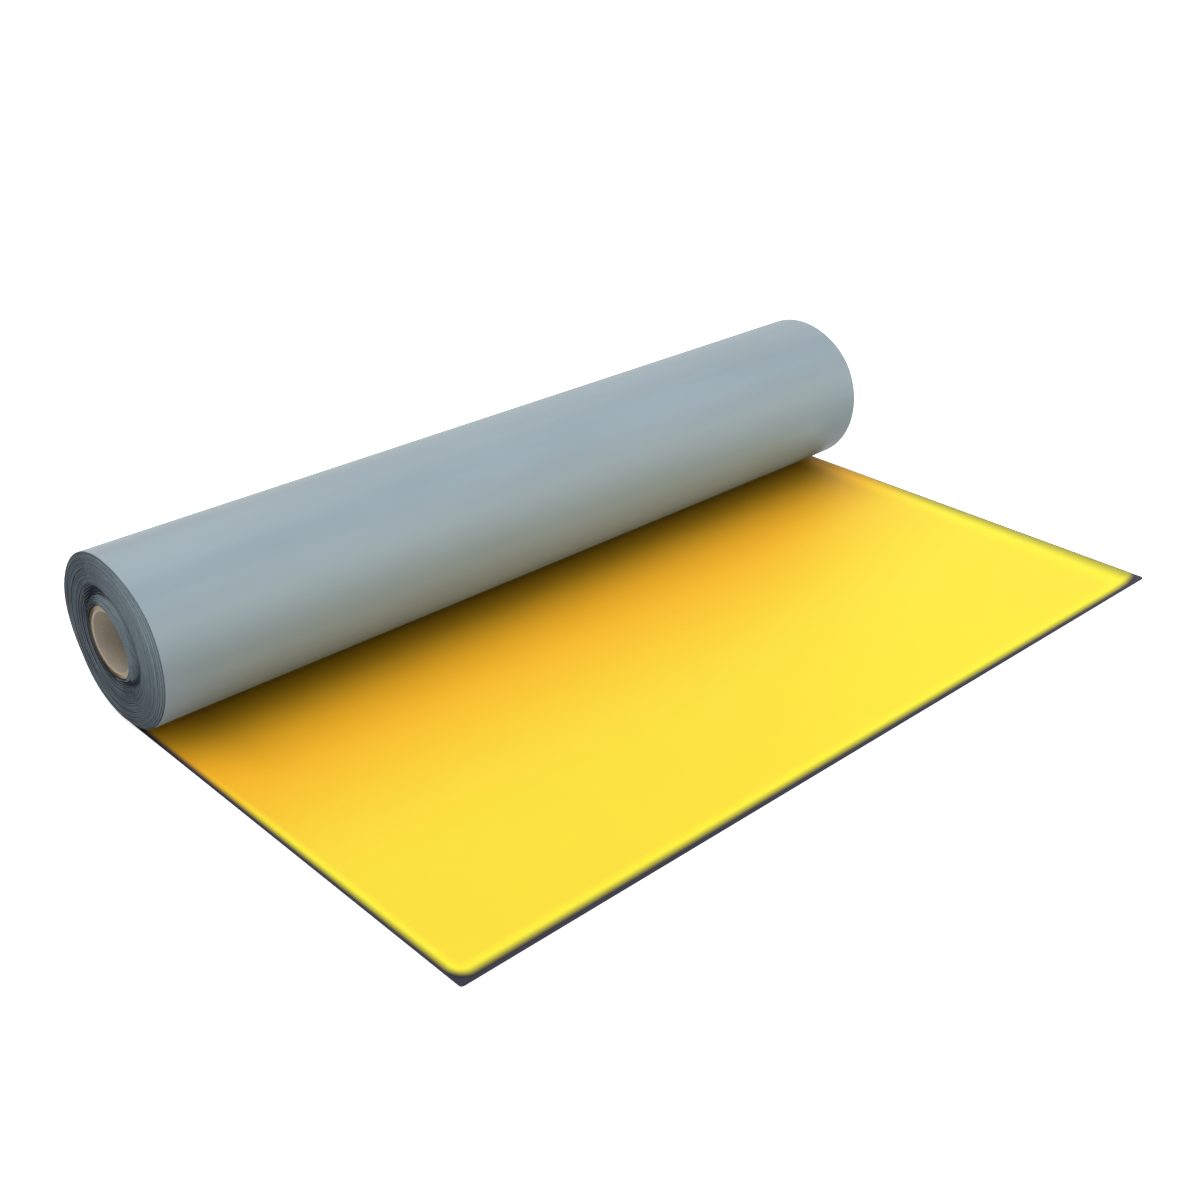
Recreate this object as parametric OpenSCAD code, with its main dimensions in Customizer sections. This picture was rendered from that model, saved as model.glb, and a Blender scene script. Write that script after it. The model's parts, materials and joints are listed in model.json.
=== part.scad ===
// Two-colour PVC waterproofing membrane, partly unrolled from its cardboard core.
// X runs along the roll, the unrolled length points to -Y, Z is up and the floor is z = 0.
// All lengths are in millimetres.

/* [Sheet] */
// Width of the sheet, along the roll
sheet_w = 1200; // [600:5:2100]
// Thickness of the whole sheet, both colours
sheet_t = 2; // [1.5:0.1:3]
// Thickness of the yellow face within it
face_t = 0.5; // [0.3:0.05:0.8]
// Length lying flat, from the line under the roll to the free end
run_len = 629; // [250:1:1500]
// Bare grey strip along the two sides of the yellow face
side_margin = 2; // [1:0.5:20]
// Bare grey strip across the free end
end_margin = 4; // [1:0.5:25]
// Corner radius of the yellow face at the free end
face_corner = 18; // [4:1:40]

/* [Roll] */
// Number of turns on the roll
turns = 29; // [13:1:40]
// Winding gap between one turn and the next
wind_gap = 0.2; // [0.1:0.05:0.4]
// Depth of the groove between neighbouring turns on the end faces
turn_groove = 0.6; // [0.3:0.1:1.2]

/* [Stray turns] */
// How far the turns stray along the roll, each way
wander = 6; // [0:0.5:10]
// Turns next to the core that stand out
proud = 6; // [1:1:6]
// Turns round those that form a hollow
hollow = 6; // [1:1:6]
// Outermost turns that fall back in line with the flat run
settling = 4; // [1:1:8]

/* [Core] */
// Bore of the cardboard core
core_bore = 76; // [50:1:152]
// Wall of the cardboard core
core_wall = 8; // [3:0.5:10]
// How far each end of the core sits inside the turns that stand out most
core_inset = 5.5; // [0:0.5:30]
// Clearance between the core and the first turn
core_clear = 0.2; // [0.1:0.05:0.5]

/* [Hidden] */
grey_t = sheet_t - face_t;
pitch = sheet_t + wind_gap;
edge_round = 0.3;                              // half the width of an end groove
r_in = core_bore / 2 + core_wall + core_clear; // first turn, front half
r_front = r_in + turns * pitch;                // last turn, front half
r_back = r_front + pitch / 2;                  // last turn, back half
z_front = r_front + pitch;                     // axis of the front half and the core
z_back = r_back;                               // axis of the back half
y_axis = (run_len - r_back) / 2;               // centres the whole part on y = 0
nip_w = 4;                                     // closed part of the nip under the roll
seat = 0.05;                                   // how far its top reaches into the roll
nip_h = z_front - sqrt(r_front * r_front - nip_w * nip_w) + seat;
face_len = run_len - nip_w - end_margin;
face_w = sheet_w - 2 * side_margin;
run_x = wander;                                // middle of the flat run
first_even = proud + hollow;                   // first turn outside the hollow
core_len = sheet_w + 2 * wander - 2 * core_inset;

// Where turn k lies along the roll, from -1 to 1. The flat run lies at 1. From the core
// out, the turns stand out in a collar, lie in a hollow, and then in one wide low swell.
function swell(step, steps) = sin(180 * (step + 0.5) / steps);
function level(k) =
    k < proud ? -1 + 0.4 * k / proud :
    k < first_even ? 0.3 + 0.3 * swell(k - proud, hollow) :
    -0.05 - 0.2 * swell(k - first_even, turns - first_even);

// The last turns slide back to the flat run: all the way in front, where the sheet
// comes off the roll, and less behind.
function settled(k, side) = max(0, 1 - (turns - 1 - k) / settling) * (side == "front" ? 1 : 0.3);
function shift(k, side) = wander * (level(k) + (1 - level(k)) * settled(k, side));

// One end of the half section, from the bore out: a flat land for the cut edge of
// each turn and a groove between turns. end is -1 or 1.
function end_points(r_first, side, end) = concat(
    [[r_first, end * sheet_w / 2 + shift(0, side)]],
    [for (k = [1 : turns - 1])
        let (r = r_first + k * pitch, x = end * sheet_w / 2, before = shift(k - 1, side),
             after = shift(k, side))
        each [[r - edge_round, x + before],
              [r, x + (before + after) / 2 - end * turn_groove],
              [r + edge_round, x + after]]],
    [[r_first + turns * pitch, end * sheet_w / 2 + shift(turns - 1, side)]]
);
function reversed(v) = [for (i = [len(v) - 1 : -1 : 0]) v[i]];

// Half section of the wound turns, radius across and position along the roll up.
module turns_section(r_first, side) {
    polygon(concat(end_points(r_first, side, -1), reversed(end_points(r_first, side, 1))));
}

// Each turn is a front half and a back half. The back centre sits half a pitch
// lower, so every back half joins one turn to the next as a spiral does.
module half_roll(r_first, z_c, side) {
    translate([0, y_axis, z_c])
        rotate([0, 90, 0])
            rotate([0, 0, side == "back" ? 0 : 180])
                rotate_extrude(angle = 180)
                    turns_section(r_first, side);
}

module membrane() {
    color([0.56, 0.64, 0.66])
    union() {
        half_roll(r_in, z_front, "front");
        half_roll(r_in + pitch / 2, z_back, "back");
        // flat run, one piece with the outside turn
        translate([run_x - sheet_w / 2, y_axis - run_len, 0])
            cube([sheet_w, run_len, grey_t]);
        // nip, where the sheet closes against the roll
        translate([run_x - sheet_w / 2, y_axis - nip_w, 0])
            cube([sheet_w, nip_w, nip_h]);
    }
}

module yellow_face() {
    color([0.98, 0.86, 0.25])
    translate([run_x, y_axis - nip_w - face_len, grey_t])
        linear_extrude(height = face_t)
            union() {
                translate([-face_w / 2, face_corner])
                    square([face_w, face_len - face_corner]);
                translate([-face_w / 2 + face_corner, 0])
                    square([face_w - 2 * face_corner, face_len]);
                for (s = [-1, 1])
                    translate([s * (face_w / 2 - face_corner), face_corner])
                        circle(r = face_corner, $fn = 96);
            }
}

module core_tube() {
    color([0.72, 0.58, 0.42])
    translate([0, y_axis, z_front])
        rotate([0, 90, 0])
            difference() {
                cylinder(h = core_len, r = core_bore / 2 + core_wall, center = true, $fn = 128);
                cylinder(h = 2 * core_len, r = core_bore / 2, center = true, $fn = 128);
            }
}

membrane();
yellow_face();
core_tube();
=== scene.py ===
# %% [markdown]
# # A roll of two-colour waterproofing sheet
# The object is one long sheet of soft PVC, wound on a cardboard tube and partly unrolled. Its
# outside is grey-blue, its inside is bright yellow, and along its edges a dark slate carrier
# shows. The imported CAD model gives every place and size. This script keeps those sizes and
# makes what the eye looks for: single wound turns, cut edges, paper board and soft plastic.

# %% Load the frame
import json
import math

import bpy
from mathutils import Euler, Matrix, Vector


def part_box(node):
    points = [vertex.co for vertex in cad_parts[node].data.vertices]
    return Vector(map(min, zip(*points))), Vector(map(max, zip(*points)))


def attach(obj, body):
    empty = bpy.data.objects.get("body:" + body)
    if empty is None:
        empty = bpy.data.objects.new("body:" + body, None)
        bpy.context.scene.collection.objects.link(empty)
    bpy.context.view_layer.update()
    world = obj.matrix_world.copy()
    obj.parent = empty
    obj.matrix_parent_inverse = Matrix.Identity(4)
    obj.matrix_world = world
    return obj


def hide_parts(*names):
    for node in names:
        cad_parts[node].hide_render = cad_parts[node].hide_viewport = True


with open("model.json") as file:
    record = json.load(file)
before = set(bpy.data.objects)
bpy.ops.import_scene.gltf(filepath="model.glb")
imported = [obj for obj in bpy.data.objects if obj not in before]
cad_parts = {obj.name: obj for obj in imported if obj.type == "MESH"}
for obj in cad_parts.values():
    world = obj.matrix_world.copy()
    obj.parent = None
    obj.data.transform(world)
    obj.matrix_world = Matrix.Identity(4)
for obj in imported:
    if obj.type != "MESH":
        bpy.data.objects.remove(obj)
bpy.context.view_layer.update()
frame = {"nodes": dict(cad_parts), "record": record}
BODY = "root"
print("CAD nodes:", sorted(frame["nodes"]))

# %% [markdown]
# ## Sizes
# The frame holds the places: the bore's mount gives the axis of the roll, the sheet's box
# gives its free end, and the middle of the yellow face tells how far the flat run lies to the
# right of the roll. Only the sheet's own thickness, its winding gap and the number of turns
# are written here, because a box can't tell them.

# %% Sizes in metres
SHEET_T = 0.0020
GREY_T = 0.0015
WIND_GAP = 0.0002
TURNS = 29
CUT_ROUND = 0.00035
CORNER_R = 0.0040
NIP = 0.0040

pitch = SHEET_T + WIND_GAP
sheet_lo, sheet_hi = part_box("membrane")
face_lo, face_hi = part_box("yellow_face")
tube_lo, tube_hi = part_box("core_tube")
bore = next(m for m in frame["record"]["mounts"] if m["name"] == "core_bore")
bore_r = bore["dims"]["r_mm"] / 1000
tube_r = (tube_hi.z - tube_lo.z) / 2
axis_y = bore["pos_m"][1]
front_z = bore["pos_m"][2]
back_z = front_z - pitch / 2
first_r = front_z - pitch - TURNS * pitch
stray = (face_lo.x + face_hi.x) / 2
sheet_w = sheet_hi.x - sheet_lo.x - 2 * stray
run = axis_y - sheet_lo.y
print(f"sheet {sheet_w:.3f} m wide, {run:.3f} m unrolled, first turn at {first_r * 1000:.1f} mm")

# %% [markdown]
# ## Helpers for modelling
# Blender's mesh operators act on whatever is selected, in whichever mode is open. These few
# helpers open one mesh with nothing selected, and select vertices by where they are, so every
# later step says in words which part of the piece it works on.

# %% Open, select and close a mesh
def deselect_all():
    if bpy.context.mode != "OBJECT":
        bpy.ops.object.mode_set(mode="OBJECT")
    bpy.ops.object.select_all(action="DESELECT")


def open_mesh(piece):
    deselect_all()
    piece.select_set(True)
    bpy.context.view_layer.objects.active = piece
    bpy.ops.object.mode_set(mode="EDIT")
    bpy.ops.mesh.select_mode(type="VERT")
    bpy.ops.mesh.select_all(action="SELECT")


def select_where(piece, test):
    bpy.ops.mesh.select_all(action="DESELECT")
    bpy.ops.object.mode_set(mode="OBJECT")
    for vertex in piece.data.vertices:
        vertex.select = test(vertex.co)
    bpy.ops.object.mode_set(mode="EDIT")


def extrude(step):
    bpy.ops.mesh.extrude_region_move(TRANSFORM_OT_translate={"value": step})


def close_mesh(piece, smooth_angle):
    bpy.ops.mesh.select_all(action="SELECT")
    bpy.ops.mesh.remove_doubles(threshold=0.000001)
    bpy.ops.mesh.normals_make_consistent(inside=False)
    bpy.ops.object.mode_set(mode="OBJECT")
    bpy.ops.object.shade_smooth_by_angle(angle=math.radians(smooth_angle))
    print(piece.name, len(piece.data.vertices), "vertices", len(piece.data.polygons), "faces")


# %% A cut-through section, as a closed outline
def add_section(name, centre, width, height, rounding):
    """A rectangle standing across the roll's axis, with round corners and no face."""
    deselect_all()
    quarter = math.radians(90)
    bpy.ops.mesh.primitive_plane_add(size=1, location=centre, rotation=(quarter, 0, 0))
    piece = bpy.context.object
    piece.name = piece.data.name = name
    bpy.ops.object.transform_apply(location=True, rotation=True, scale=True)
    open_mesh(piece)
    bpy.ops.transform.resize(value=(width, 1, height), center_override=centre)
    bpy.ops.mesh.bevel(offset=rounding, segments=2, affect="VERTICES")
    bpy.ops.mesh.delete(type="ONLY_FACE")
    return piece


# %% [markdown]
# ## The sheet: flat run
# A real sheet is one strip from its free end to the end glued on the tube, so it is made as
# one strip here. It could be a stack of rings, but rings would never meet the flat part. The
# strip's cut section is drawn once, at the line where the roll touches the floor. It is
# first pulled forward to make the flat run. Past the roll the grey sheet is thinner, because
# the yellow ply, a piece of its own, lies on it there.

# %% Pull the section forward
sheet = add_section("membrane_sheet", (0, axis_y, SHEET_T / 2), sheet_w, SHEET_T, CUT_ROUND)
open_mesh(sheet)
extrude((0, -NIP, 0))
extrude((0, 0, 0))
bpy.ops.transform.resize(value=(1, 1, GREY_T / SHEET_T), center_override=(0, axis_y, 0))
extrude((0, -(run - NIP - CORNER_R), 0))

# %% Round the two corners of the free end
CORNER_STEPS = 5
half = sheet_w / 2
for step in range(1, CORNER_STEPS + 1):
    before = math.radians(90 * (step - 1) / CORNER_STEPS)
    after = math.radians(90 * step / CORNER_STEPS)
    narrower = sheet_w / 2 - CORNER_R * (1 - math.cos(after))
    reach = CORNER_R - CUT_ROUND
    extrude((0, -reach * (math.sin(after) - math.sin(before)), 0))
    bpy.ops.transform.resize(value=(narrower / half, 1, 1), center_override=(0, 0, 0))
    half = narrower
extrude((0, -CUT_ROUND, 0))
thinner = (GREY_T - 2 * CUT_ROUND) / GREY_T
bpy.ops.transform.resize(value=(1, 1, thinner), center_override=(0, 0, GREY_T / 2))
bpy.ops.mesh.edge_face_add()

# %% [markdown]
# ## The sheet: wound turns
# A spiral could be computed point by point. A winder's way is simpler: half a turn about one
# centre, then half a turn about another that lies half a pitch higher. Each half turn comes
# out half a pitch tighter than the last, and the ends meet with no step. The Spin operator
# does exactly that when its centre is swapped after each half turn.

# %% Spin the section round the two centres
STEPS_PER_HALF = 36
select_where(sheet, lambda co: abs(co.y - axis_y) < 0.000001)
for half_turn in range(2 * TURNS):
    centre_z = back_z if half_turn % 2 == 0 else front_z
    bpy.ops.mesh.spin(steps=STEPS_PER_HALF, angle=math.pi, center=(0, axis_y, centre_z),
                      axis=(-1, 0, 0))
bpy.ops.mesh.edge_face_add()
close_mesh(sheet, 20)

# %% [markdown]
# ## The sheet: stray turns
# A roll's ends are never one flat disc. Here the turns next to the tube stand out as a
# collar, wide at the upper front and lost at the back, a hollow winds round it, and the rest
# lie in one low swell. Two places of the hollow are deep pits. The sheet has one width, so a
# turn that stands out at one end is drawn in at the other. The last turns slide back, because
# the flat run lies to the right of the roll. Every vertex gets its turn number from its place,
# that number gives a level from -1 to 1, and a Displace modifier slides the vertex along the
# roll by the level, handed over as vertex weights. The part after the point of a turn number
# says where round the roll it is: 0 on the floor, a quarter in front, a half on top.

# %% Number the turns
def wound_place(co):
    """The turn number, 0 at the tube, and the depth into the sheet, 0 outside to 1 inside."""
    if co.y < axis_y + 0.00001 and co.z < SHEET_T + WIND_GAP / 2:
        return TURNS, co.z / SHEET_T
    is_back = co.y > axis_y
    centre_z = back_z if is_back else front_z
    inner = first_r + (pitch / 2 if is_back else 0)
    radius = math.hypot(co.y - axis_y, co.z - centre_z)
    ring = math.floor((radius - inner - WIND_GAP / 2) / pitch)
    from_floor = math.atan2(abs(co.y - axis_y), centre_z - co.z) / (2 * math.pi)
    along = 1 - from_floor if is_back else from_floor
    depth = (inner + (ring + 1) * pitch - radius) / SHEET_T
    return ring + along, depth


def ease(low, high, value):
    part = min(1, max(0, (value - low) / (high - low)))
    return part * part * (3 - 2 * part)


# %% Give each turn its level along the roll
COLLAR, SETTLING = 7, 4
WIDEST, LOW_PIT, HIGH_PIT = 0.38, 0.20, 0.58


def near(part, centre, reach):
    """1 at one place round a turn, easing to 0 as far as reach from it on both sides."""
    away = abs((part - centre + 0.5) % 1 - 0.5)
    return ease(reach, 0, away)


def swell(turn):
    """Uneven winding: every turn strays a little from its neighbours."""
    return (0.05 * math.sin(2 * math.pi * 0.37 * turn)
            + 0.04 * math.sin(2 * math.pi * 1.83 * turn)
            + 0.03 * math.sin(2 * math.pi * 0.11 * turn * turn))


def stray_level(turn):
    """The level, from -1, out at the left, to 1, in line with the flat run."""
    part = turn % 1
    pits = max(near(part, LOW_PIT, 0.17), near(part, HIGH_PIT, 0.15))
    edge = COLLAR * near(part, WIDEST, 0.34) + 3 * near(part, 0.60, 0.12)
    into = (turn - edge) / (2.0 + 3.0 * pits)
    deep = 0.35 + 0.55 * pits - 0.5 * near(part, 0.40, 0.12)
    hollow = ease(-0.30, 0.30, into) * ease(1.45, 0.65, into)
    collar = ease(0.30, -0.30, into) * (0.75 + 0.25 * near(part, 0.36, 0.25))
    outer = ease(0.65, 1.45, into)
    level = (0.3 * max(0, turn) / COLLAR - 1) * collar + deep * hollow
    level += (-0.05 - 0.2 * math.sin(math.pi * turn / TURNS)) * outer + swell(turn)
    in_front = 1 - ease(0.32, 0.50, part) + ease(0.68, 1.0, part)
    settled = min(1, max(0, 1 - (TURNS - 0.5 - turn) / SETTLING)) * in_front
    return max(-1, min(1, level + (1 - level) * settled))


# %% Slide the turns along the roll
places = [wound_place(vertex.co) for vertex in sheet.data.vertices]
weights = sheet.vertex_groups.new(name="stray")
for index, (turn, depth) in enumerate(places):
    weights.add([index], 0.5 + 0.5 * stray_level(turn), "REPLACE")
slide = sheet.modifiers.new("stray", "DISPLACE")
slide.direction = "X"
slide.vertex_group = "stray"
slide.strength = 2 * stray
slide.mid_level = 0
open_mesh(sheet)
bpy.ops.transform.translate(value=(-stray, 0, 0))
bpy.ops.object.mode_set(mode="OBJECT")
bpy.ops.object.modifier_apply(modifier="stray")
reach = [vertex.co.x for vertex in sheet.data.vertices]
print(f"sheet reaches from {min(reach):.4f} to {max(reach):.4f} m")

# %% Keep turn, depth and how sunk the edge is for the finishes
def sunk_level(turn):
    """How far a turn's left end lies behind those of its neighbours; the right is opposite."""
    around = [min(TURNS, max(0, turn + step)) for step in (-5, -4, -3, 3, 4, 5)]
    return stray_level(turn) - sum(stray_level(other) for other in around) / len(around)


def keep(name, values):
    layer = sheet.data.attributes.new(name, "FLOAT", "POINT")
    layer.data.foreach_set("value", values)
    print(f"{name}: {min(values):.2f} to {max(values):.2f}")


sides = [1 if vertex.co.x < 0 else -1 for vertex in sheet.data.vertices]
keep("turn", [turn for turn, depth in places])
keep("depth", [depth for turn, depth in places])
keep("sunk", [side * sunk_level(turn) for side, (turn, depth) in zip(sides, places)])

# %% [markdown]
# ## The yellow face
# The bright ply is half a millimetre thick, has large round corners at the free end, and
# thins out towards its rim. A plane is set to its outline and its two front corners are
# bevelled round. One short extrude makes the thin rim, and an inset that rises as it goes
# inwards makes the long flat slope up to the full thickness.

# %% Lay the ply on the flat run
FACE_CORNER = 0.018
RIM_T = 0.00006
SLOPE = 0.007
deselect_all()
face_mid = (face_lo + face_hi) / 2
bpy.ops.mesh.primitive_plane_add(size=1, location=(face_mid.x, face_mid.y, face_lo.z))
face = bpy.context.object
face.name = face.data.name = "yellow_ply"
bpy.ops.object.transform_apply(location=True, rotation=True, scale=True)
open_mesh(face)
bpy.ops.transform.resize(value=(face_hi.x - face_lo.x, face_hi.y - face_lo.y, 1),
                         center_override=face_mid)
select_where(face, lambda co: co.y < face_mid.y)
bpy.ops.mesh.bevel(offset=FACE_CORNER, segments=12, affect="VERTICES")

# %% Give the ply its rim and its slope
bpy.ops.mesh.select_all(action="SELECT")
extrude((0, 0, RIM_T))
bpy.ops.mesh.select_mode(type="FACE")
bpy.ops.mesh.inset(thickness=SLOPE, depth=face_hi.z - face_lo.z - RIM_T)
bpy.ops.mesh.select_mode(type="VERT")
close_mesh(face, 20)
heights = [vertex.co.z for vertex in face.data.vertices]
print(f"ply from {min(heights) * 1000:.2f} to {max(heights) * 1000:.2f} mm above the floor")

# %% [markdown]
# ## The cardboard tube
# Paper is wound in slanting strips to make the tube, so its wall is a stack of thin plies.
# The wall's cut section is spun once round the bore's axis, and its doubles are merged where
# the last step meets the first.

# %% Spin the wall of the tube
TUBE_STEPS = 96
wall = tube_r - bore_r
wall_centre = (0, axis_y, front_z - (tube_r + bore_r) / 2)
tube = add_section("core_board_tube", wall_centre, tube_hi.x - tube_lo.x, wall, 0.0007)
open_mesh(tube)
bpy.ops.mesh.spin(steps=TUBE_STEPS, angle=2 * math.pi, center=(0, axis_y, front_z),
                  axis=(-1, 0, 0))
close_mesh(tube, 20)

# %% Cut its ends a little out of square
OUT_OF_SQUARE = 0.0025
tilt = tube.vertex_groups.new(name="tilt")
for index, vertex in enumerate(tube.data.vertices):
    tilt.add([index], 0.5 + 0.5 * (vertex.co.y - axis_y) / tube_r, "REPLACE")
saw = tube.modifiers.new("tilt", "DISPLACE")
saw.direction = "X"
saw.vertex_group = "tilt"
saw.strength = -2 * OUT_OF_SQUARE
saw.mid_level = 0
open_mesh(tube)
bpy.ops.transform.translate(value=(OUT_OF_SQUARE, 0, 0))
bpy.ops.object.mode_set(mode="OBJECT")
bpy.ops.object.modifier_apply(modifier="tilt")

# %% [markdown]
# ## Shader maths
# A finish is a small sum of masks and colours. Written node by node it would be hard to read,
# so one class wraps a socket and lets Python's own signs make the Math nodes.

# %% Sums on sockets
class Field:
    """A number, a colour or a vector on its way through a finish's nodes."""

    def __init__(self, tree, socket):
        self.tree = tree
        self.socket = socket

    def maths(self, operation, *values):
        return self.tree.node("ShaderNodeMath", {"operation": operation}, *values)

    def __pow__(self, other):
        return self.maths("POWER", self, other)

    def __add__(self, other):
        return self.maths("ADD", self, other)

    def __sub__(self, other):
        return self.maths("SUBTRACT", self, other)

    def __rsub__(self, other):
        return self.maths("SUBTRACT", other, self)

    def __mul__(self, other):
        return self.maths("MULTIPLY", self, other)

    def __truediv__(self, other):
        return self.maths("DIVIDE", self, other)

    __radd__ = __add__
    __rmul__ = __mul__

    def at_most(self, other):
        return self.maths("MINIMUM", self, other)

    def at_least(self, other):
        return self.maths("MAXIMUM", self, other)

    def size(self):
        return self.maths("ABSOLUTE", self)

    def root(self):
        return self.maths("SQRT", self)

    def wave(self):
        return self.maths("SINE", self)

    def rise(self, low, high):
        """0 below low, 1 above high, and an easy slope between."""
        settings = {"interpolation_type": "SMOOTHSTEP"}
        values = {"Value": self, "From Min": low, "From Max": high}
        return self.tree.node("ShaderNodeMapRange", settings, **values)


# %% A tree of nodes
class Tree:
    """The nodes of a finish or of the sky, added one by one through a single method."""

    def __init__(self, tree):
        self.tree = tree

    def node(self, kind, settings, *values, out=0, **named):
        """Adds a node: settings first, then its sockets in order or by name."""
        made = self.tree.nodes.new(kind)
        for name, setting in settings.items():
            setattr(made, name, setting)
        for socket, value in [*enumerate(values), *named.items()]:
            if isinstance(value, Field):
                self.tree.links.new(value.socket, made.inputs[socket])
            else:
                made.inputs[socket].default_value = value
        return made if out is None else Field(self, made.outputs[out])

    def parts(self, vector):
        split = self.node("ShaderNodeSeparateXYZ", {}, vector, out=None)
        return [Field(self, split.outputs[i]) for i in range(3)]


# %% A finish
class Finish(Tree):
    """A material: its fixed sockets are set by name, and what varies is linked later."""

    def __init__(self, name, **fixed):
        self.material = bpy.data.materials.new(name)
        self.material.use_nodes = True
        super().__init__(self.material.node_tree)
        self.shader = self.tree.nodes["Principled BSDF"]
        for socket, value in fixed.items():
            self.shader.inputs[socket.replace("_", " ")].default_value = value
        self.place = self.node("ShaderNodeTexCoord", {}, out="Object")
        self.x, self.y, self.z = self.parts(self.place)

    def mix(self, amount, first, second):
        """A colour between two colours."""
        made = self.tree.nodes.new("ShaderNodeMix")
        made.data_type = "RGBA"
        for socket, value in ((0, amount), (6, first), (7, second)):
            if isinstance(value, Field):
                self.tree.links.new(value.socket, made.inputs[socket])
            else:
                made.inputs[socket].default_value = value
        return Field(self, made.outputs[2])

    def scaled(self, colour, factor):
        """The same colour, lighter or darker."""
        return self.node("ShaderNodeVectorMath", {"operation": "SCALE"}, colour, Scale=factor)

    def stretch(self, sx, sy, sz):
        """The place, with each direction made finer by its own factor."""
        return self.node("ShaderNodeMapping", {}, self.place, Scale=(sx, sy, sz))

    def noise(self, place, scale, detail=2.0, rough=0.5):
        named = {"Vector": place, "Scale": scale, "Detail": detail, "Roughness": rough}
        return self.node("ShaderNodeTexNoise", {"normalize": True}, **named)

    def layer(self, name):
        return self.node("ShaderNodeAttribute", {"attribute_name": name}, out="Fac")

    def bump(self, height, distance, strength=1.0, under=None):
        named = {"Strength": strength, "Distance": distance, "Height": height}
        if under is not None:
            named["Normal"] = under
        return self.node("ShaderNodeBump", {}, **named)

    def link(self, **sockets):
        for socket, field in sockets.items():
            self.tree.links.new(field.socket, self.shader.inputs[socket.replace("_", " ")])
        return self.material


def tint(red, green, blue):
    """A colour as seen on a screen, 0 to 255, in the linear values that Blender mixes."""
    def linear(value):
        part = value / 255
        return part / 12.92 if part <= 0.04045 else ((part + 0.055) / 1.055) ** 2.4
    return (linear(red), linear(green), linear(blue), 1.0)


SLATE = tint(37, 36, 53)

# %% [markdown]
# ## Grey skin
# The outside of the sheet is calendered PVC: even grey-blue, a satin sheen and a grain too
# fine to see from afar. Winding leaves faint bands along the roll, where the sheet lies a
# little tighter or slacker. The noise is stretched along the roll to draw them. A painted
# highlight makes the crown a little paler, and painted shade makes the skin darker and
# cooler low in front, and darker still low in front at the right end.

# %% Make the grey skin
def grey_skin():
    skin = Finish("grey_skin", Specular_IOR_Level=0.4)
    bands = skin.noise(skin.stretch(0.5, 11, 11), 1.6, 3.0)
    clouds = skin.noise(skin.stretch(2.2, 5, 5), 1.5, 3.0)
    grain = skin.noise(skin.place, 900, 2.0)
    forward = (axis_y - skin.y) / front_z
    upward = (skin.z - front_z) / front_z
    # Painted light: a paler crown. Painted shade: darker and cooler low in front.
    lit_crown = upward * 0.985 - forward * 0.174
    shaded_foot = (forward - upward) * 0.707
    colour = skin.mix(lit_crown.rise(0.6, 1.0), tint(142, 159, 168), tint(147, 163, 170))
    colour = skin.mix(shaded_foot.rise(0.3, 1.0), colour, tint(127, 149, 167))
    tone = (bands - 0.5) * 0.9 + (clouds - 0.5) * 0.5 + 0.5
    # Painted shade: darker low in front at the right end.
    right_foot_shade = shaded_foot.rise(0.55, 0.95) * skin.x.rise(0.49, 0.57) * 0.30
    colour = skin.scaled(colour, 0.92 + tone.rise(0.2, 0.8) * 0.16 - right_foot_shade)
    rough = 0.46 + (clouds - 0.5) * 0.16 + (grain - 0.5) * 0.08
    waves = skin.bump(bands, 0.0006, 0.5)
    fine = skin.bump(grain, 0.00006, 0.35, waves)
    return skin.link(Base_Color=colour, Roughness=rough, Normal=fine)


# %% [markdown]
# ## Wound edges
# On the roll's two ends the knife has cut through the sheet, and every turn shows a narrow
# grey-blue edge. No two turns come out quite as light, so the tone follows the turn number
# that the sheet carries. Over that lie painted light and shade: edges that stand out past
# their neighbours are painted lighter, and sunken edges, the pits and the turns behind the
# tube get painted shade. The ends are also painted lighter towards the front and the top,
# and darker at the upper back and low in front.

# %% Make the wound edges
# The colour of the painted shade on the roll's ends.
RECESS_SHADE = tint(41, 49, 53)


def wound_edges():
    edge = Finish("wound_edges", Specular_IOR_Level=0.06)
    turn = edge.layer("turn")
    depth = edge.layer("depth")
    sunk = edge.layer("sunk")
    by_turn = edge.node("ShaderNodeTexNoise", {"noise_dimensions": "1D"}, W=turn, Scale=0.9,
                        Detail=3.0)
    specks = edge.noise(edge.place, 420, 3.0)
    smears = edge.noise(edge.place, 34, 3.0)
    towards_front = (axis_y - edge.y) / front_z
    upwards = (edge.z - front_z) / front_z
    tone = (by_turn - 0.5) * 0.5 + (specks - 0.5) * 0.25 + (smears - 0.5) * 0.6 + 0.5
    # Painted light to the front and top; painted shade at the upper back and low in front.
    corners = towards_front * upwards
    tone = tone + towards_front * 0.05 + upwards * 0.05 + corners * 0.7 - 0.04
    cut = edge.mix(tone.rise(0.0, 1.0), tint(90, 101, 105), tint(134, 149, 157))
    # Painted light on standing edges; painted shade on sunken ones, the pits and by the tube.
    proud_lit = edge.mix((0 - sunk).rise(0.2, 1.0) * 0.35, cut, tint(144, 158, 166))
    shade_by_tube = (1 - turn.rise(2.0, 8.0)) * (0 - towards_front).rise(0.0, 0.25)
    pit_shade = (1 - turn.rise(8.0, 15.0)) * (0 - corners).rise(0.01, 0.09)
    shade_amount = (sunk.rise(0.05, 0.9) * 0.6 + shade_by_tube * 0.7 + pit_shade * 0.4).at_most(0.88)
    shaded_cut = edge.mix(shade_amount, proud_lit, RECESS_SHADE)
    colour = edge.mix(depth.rise(0.66, 0.84) * 0.4, shaded_cut, SLATE)
    drag = edge.noise(edge.stretch(1, 40, 40), 60, 2.0)
    rough = 0.75 + (specks - 0.5) * 0.2
    return edge.link(Base_Color=colour, Roughness=rough, Normal=edge.bump(drag, 0.0001, 0.4))
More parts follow.
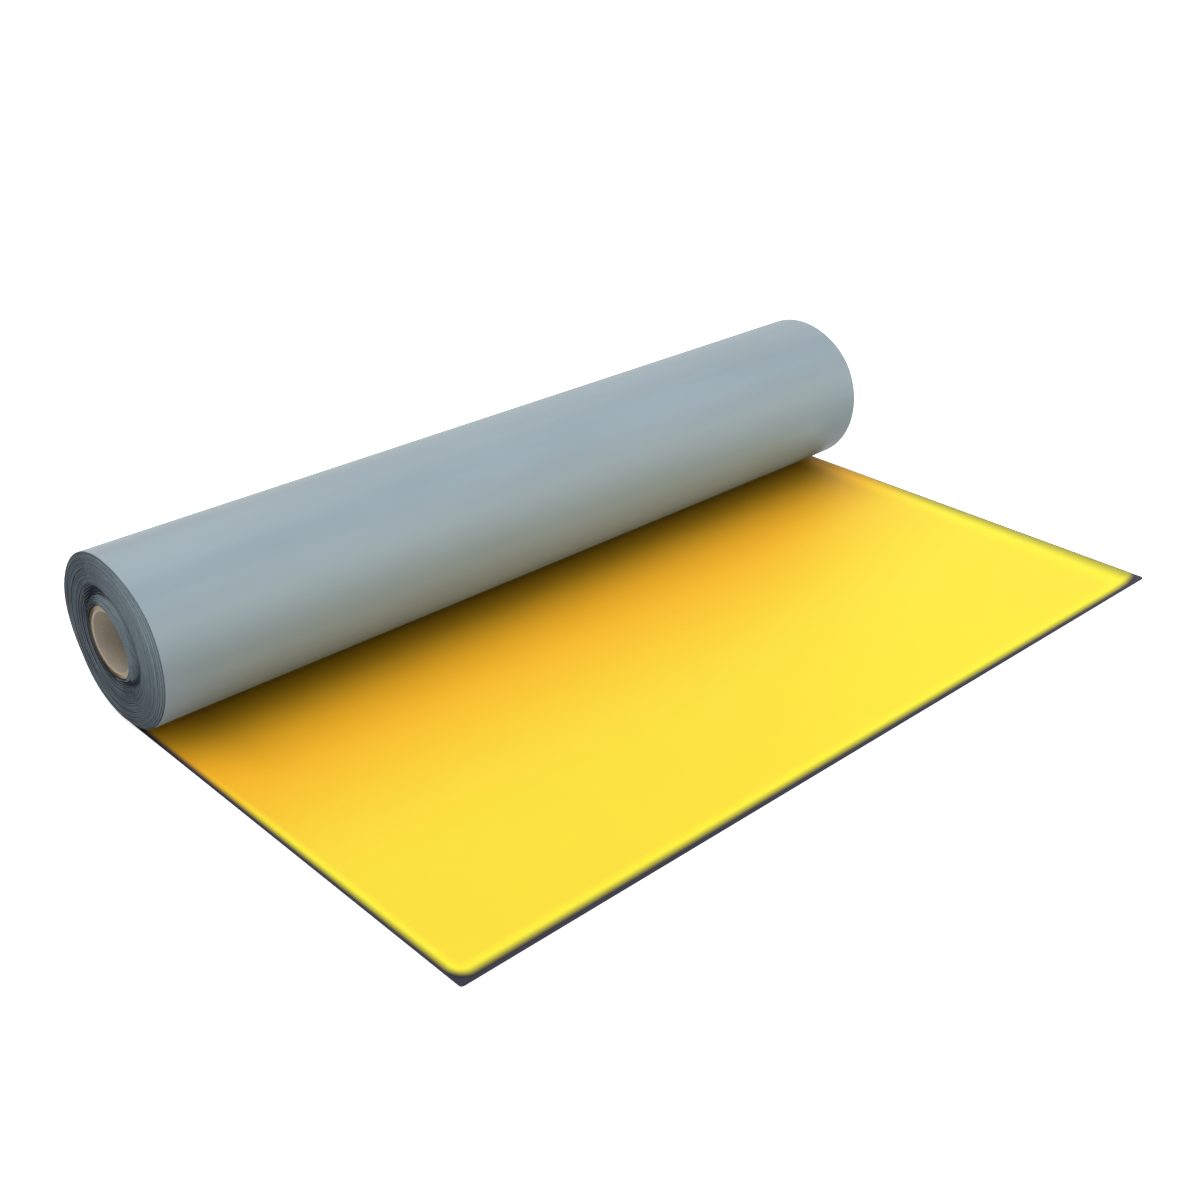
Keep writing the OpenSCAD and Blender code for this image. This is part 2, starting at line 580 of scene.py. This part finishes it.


# %% [markdown]
# ## Slate carrier
# Under the yellow ply lies a dark carrier. It shows on the bare margins, on the cut of the
# free end and on the inner side of each turn. Dust and handling leave it a little uneven,
# and the first turn, which lies on the tube, is browner.

# %% Make the slate carrier
def slate_carrier():
    slate = Finish("slate_carrier", Specular_IOR_Level=0.25)
    specks = slate.noise(slate.place, 420, 3.0)
    clouds = slate.noise(slate.place, 22, 3.0)
    tone = (clouds - 0.5) * 0.9 + (specks - 0.5) * 0.5 + 0.5
    colour = slate.mix(tone.rise(0.1, 0.9), SLATE, tint(50, 50, 65))
    across = slate.y - axis_y
    up = slate.z - front_z
    from_axis = (across * across + up * up).root()
    # The first turn, on the tube, is browner.
    colour = slate.mix(from_axis.rise(first_r + 0.001, first_r + 0.002), tint(46, 40, 33), colour)
    rough = 0.6 + (specks - 0.5) * 0.2
    return slate.link(Base_Color=colour, Roughness=rough, Normal=slate.bump(specks, 0.0001, 0.4))


# %% [markdown]
# ## Yellow ply
# The signal side is a light warm yellow. Near the roll it carries painted shade: amber where
# the sheet has just left the roll, paling further out and towards the right, and brown close
# under the roll, less so at the two open sides. Its rim is lemon first, and in the last few
# millimetres the ply is so thin that the dark carrier shows through: fully at the left and
# the free end, partly at the right. Each side gives how near it is, as a share of its own
# soft band's width, and the shares are joined round the corners.

# %% Make the yellow ply's finish
END_BAND = 0.026
THINS_FROM, THINNEST = 0.544, 1.063


def yellow_finish():
    yellow = Finish("yellow_ply", Specular_IOR_Level=0.15)
    from_roll = axis_y - yellow.y
    left = (1 - (yellow.x - face_lo.x) / (from_roll * 0.009 + 0.0145)).at_least(0)
    right = (1 - (face_hi.x - yellow.x) / (from_roll * 0.05 + 0.042)).at_least(0)
    end = (1 - (yellow.y - face_lo.y + yellow.x * 0.0023) / END_BAND).at_least(0)
    near_rim = (left * left + right * right + end * end).root()
    thin = (left * left + end * end + right ** 3 * end * 0.8).root()
    thin = thin.rise(THINS_FROM, THINNEST)
    beside = right.rise(THINS_FROM, THINNEST) * (0.22 + from_roll.rise(0.05, 0.30) * 0.40)
    # Painted shade: amber near the roll, paling further out and towards the right.
    amber_shade = (from_roll - yellow.x * 0.02).rise(0.139, 0.465)
    out_of_shade = (from_roll + yellow.x * 0.61).rise(0.334, 0.792) * from_roll.rise(0.04, 0.24)
    warm = yellow.mix(amber_shade, tint(250, 180, 34), tint(250, 222, 57))
    warm = yellow.mix(out_of_shade, warm, tint(251, 232, 58))
    # Painted shade: brown close under the roll, lighter at the open left and right sides.
    open_left = (1 - (yellow.x - face_lo.x) / 0.08).at_least(0).rise(0.0, 1.0)
    open_side = open_left * 0.055 + right.rise(0.0, 0.7) * 0.075
    shade = (from_roll + open_side).rise(-0.05, 0.248)
    warm = yellow.mix(shade, tint(118, 97, 7), warm)
    clouds = yellow.noise(yellow.place, 9, 3.0)
    soft = yellow.scaled(warm, 0.965 + clouds * 0.03)
    lemon = near_rim.rise(0.10, 0.55) * from_roll.rise(0.12, 0.35) * 0.6
    rimmed = yellow.mix(lemon, soft, tint(250, 244, 58))
    colour = yellow.mix(thin + beside - thin * beside, rimmed, SLATE)
    grain = yellow.noise(yellow.place, 900, 2.0)
    rough = 0.50 + (clouds - 0.5) * 0.14 + (grain - 0.5) * 0.08
    fine = yellow.bump(grain, 0.00006, 0.35)
    return yellow.link(Base_Color=colour, Roughness=rough, Normal=fine)


# %% [markdown]
# ## Paper board
# The tube is brown board. Slanting seams run round it where one paper strip meets the next,
# the sawn rim is paler and shows the plies as fine rings, and the fibres give a dull mottled
# face. Painted shade browns the rim's outer edge, thin all round and widest low down at the
# back, where the gap between the tube and the first turns lies in shade.

# %% Make the paper board
def paper_board():
    board = Finish("paper_board", Specular_IOR_Level=0.1)
    across = board.y - axis_y
    up = board.z - front_z
    angle = board.node("ShaderNodeMath", {"operation": "ARCTAN2"}, up, across)
    radius = (across * across + up * up).root()
    plies = (radius * (2 * math.pi / 0.0006)).wave()
    strip = board.x / 0.085 + angle / (2 * math.pi)
    seam = board.node("ShaderNodeMath", {"operation": "FRACT"}, strip)
    seam = 1 - (seam - 0.5).size().rise(0.0, 0.016)
    fibres = board.noise(board.stretch(1, 3, 3), 260, 4.0, 0.7)
    blots = board.noise(board.place, 30, 3.0)
    tone = (fibres - 0.5) * 0.9 + (blots - 0.5) * 0.6 + 0.5
    paper = board.mix(tone.rise(0.1, 0.9), tint(194, 183, 167), tint(221, 210, 193))
    sawn = board.x + across * (OUT_OF_SQUARE / tube_r)
    at_rim = sawn.size().rise(tube_hi.x - 0.0009, tube_hi.x - 0.0004)
    lines = at_rim * (plies * 0.5 + 0.5) * 0.35
    pale = board.mix(at_rim * 0.7, paper, tint(228, 214, 188))
    # Painted shade of the gap round the tube: a brown outer rim edge, widest low at the back.
    behind = (across * 0.905 - up * 0.426) / tube_r
    wide_gap_shade = radius.rise(tube_r - 0.0062, tube_r - 0.0036) * behind.rise(-0.1, 0.5)
    gap_shade = ((radius.rise(tube_r - 0.0016, tube_r - 0.0006) + wide_gap_shade) * at_rim).at_most(0.9)
    ringed = board.mix(lines, pale, tint(150, 128, 98))
    edged = board.mix(gap_shade, ringed, tint(92, 72, 48))
    colour = board.mix(seam * (1 - at_rim) * 0.5, edged, tint(132, 114, 92))
    height = fibres * 0.4 + lines - seam * (1 - at_rim)
    rough = 0.86 + (blots - 0.5) * 0.1
    return board.link(Base_Color=colour, Roughness=rough, Normal=board.bump(height, 0.0003, 0.6))


# %% [markdown]
# ## Dress the pieces
# The sheet carries three finishes: skin on its outside, wound edges on the roll's ends, and
# slate on its inner side and round the flat run. A face's place and the way it looks tell
# which one it gets. Each piece then rides on the part's one body and takes its CAD node's
# place.

# %% Choose each face's finish
SKIN, EDGES, CARRIER = 0, 1, 2


def finish_of(polygon):
    centre, normal = polygon.center, polygon.normal
    if centre.y < axis_y and centre.z < SHEET_T:
        return SKIN if normal.z < -0.9 else CARRIER
    centre_z = back_z if centre.y > axis_y else front_z
    across, up = centre.y - axis_y, centre.z - centre_z
    outward = (across * normal.y + up * normal.z) / math.hypot(across, up)
    if outward > 0.9:
        return SKIN
    return CARRIER if outward < -0.9 else EDGES


for finish in (grey_skin(), wound_edges(), slate_carrier()):
    sheet.data.materials.append(finish)
for polygon in sheet.data.polygons:
    polygon.material_index = finish_of(polygon)
face.data.materials.append(yellow_finish())
tube.data.materials.append(paper_board())
shares = [sum(p.material_index == i for p in sheet.data.polygons) for i in range(3)]
print("faces of skin, edges and carrier:", shares)

# %% Tie the pieces to the frame
for piece, node, slot in ((sheet, "membrane", "grey_sheet"), (face, "yellow_face", "yellow_sheet"),
                          (tube, "core_tube", "core_board")):
    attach(piece, BODY)
    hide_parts(node)

# %% [markdown]
# ## Floor, light and camera
# A pale floor takes the soft shadow under the roll. Five soft patches of sky and one wide
# lamp stand in for a studio: a large one overhead, one above and behind the roll, a low one
# in front on the right that lights the round of the roll, and a weak one on each side for the
# open ends. Together they show a level surface about as its colour is written. Seen straight
# from the camera the sky is plain white, and in a reflection it is at least as bright.

# %% Lay the floor
deselect_all()
bpy.ops.mesh.primitive_plane_add(size=60, location=(0, 0, 0))
floor = bpy.context.object
floor.name = "floor"
paint = Finish("floor_paint", Roughness=0.9, Specular_IOR_Level=0.1)
paint.shader.inputs["Base Color"].default_value = (0.75, 0.75, 0.75, 1)
path = paint.node("ShaderNodeLightPath", {}, out=None)
seen = [Field(paint, path.outputs[name]) for name in
        ("Is Camera Ray", "Is Glossy Ray", "Is Transmission Ray")]
directly = (seen[0] + seen[1] + seen[2]).at_most(1)
lift = paint.node("ShaderNodeEmission", {}, Strength=0.8 * directly)
both = paint.node("ShaderNodeAddShader", {}, Field(paint, paint.shader.outputs[0]), lift)
paint.tree.links.new(both.socket, paint.tree.nodes["Material Output"].inputs["Surface"])
floor.data.materials.append(paint.material)

# %% Set the light
world = bpy.data.worlds.new("studio")
bpy.context.scene.world = world
world.use_nodes = True
sky = Tree(world.node_tree)
outwards = sky.node("ShaderNodeTexCoord", {}, out="Generated")


def soft_box(height_angle, turned, narrowness):
    """A soft bright patch of sky. turned is its angle from the front towards the right."""
    height, side = math.radians(height_angle), math.radians(turned)
    flat = math.cos(height)
    aim = (flat * math.sin(side), -flat * math.cos(side), math.sin(height))
    dot = {"operation": "DOT_PRODUCT"}
    facing = sky.node("ShaderNodeVectorMath", dot, outwards, aim, out="Value")
    return facing.at_least(0) ** narrowness


strength = soft_box(90, 0, 10) * 3.3 + soft_box(60, 180, 8) * 0.35
strength = strength + soft_box(8, 40, 8) * 3.6 + soft_box(15, 90, 6) * 0.9
strength = strength + soft_box(40, -60, 8) * 0.8
rays = sky.node("ShaderNodeLightPath", {}, out=None)
shown = [Field(sky, rays.outputs[name]) for name in
         ("Is Camera Ray", "Is Glossy Ray", "Is Transmission Ray")]
straight, mirrored = shown[0], (shown[1] + shown[2]).at_most(1)
strength = (strength * (1 - straight) + straight).at_least(mirrored)
sky.tree.links.new(strength.socket, sky.tree.nodes["Background"].inputs["Strength"])
sky.tree.nodes["Background"].inputs["Color"].default_value = (1, 1, 1, 1)

# %% Add the lamp behind the roll
lamp = bpy.data.lights.new("key", "SUN")
lamp.energy = 0.34
lamp.angle = math.radians(55)
key = bpy.data.objects.new("key", lamp)
key.location = (0, 1.5, 3)
key.rotation_euler = (math.radians(-30), 0, 0)
bpy.context.collection.objects.link(key)

# %% Place the camera
AZIMUTH, ELEVATION, ROLL = -42.656, 28.075, -0.461
camera_data = bpy.data.cameras.new("camera")
camera_data.lens = 47.399
camera_data.sensor_width = 36
camera = bpy.data.objects.new("camera", camera_data)
bpy.context.collection.objects.link(camera)
camera.location = (stray - 1.2645, axis_y - 1.5442, 1.0059)
facing = Euler((math.radians(90 - ELEVATION), 0, math.radians(AZIMUTH))).to_matrix()
camera.rotation_euler = (facing @ Matrix.Rotation(math.radians(ROLL), 3, "Z")).to_euler()
bpy.context.scene.camera = camera
bpy.context.scene.view_settings.view_transform = "Standard"
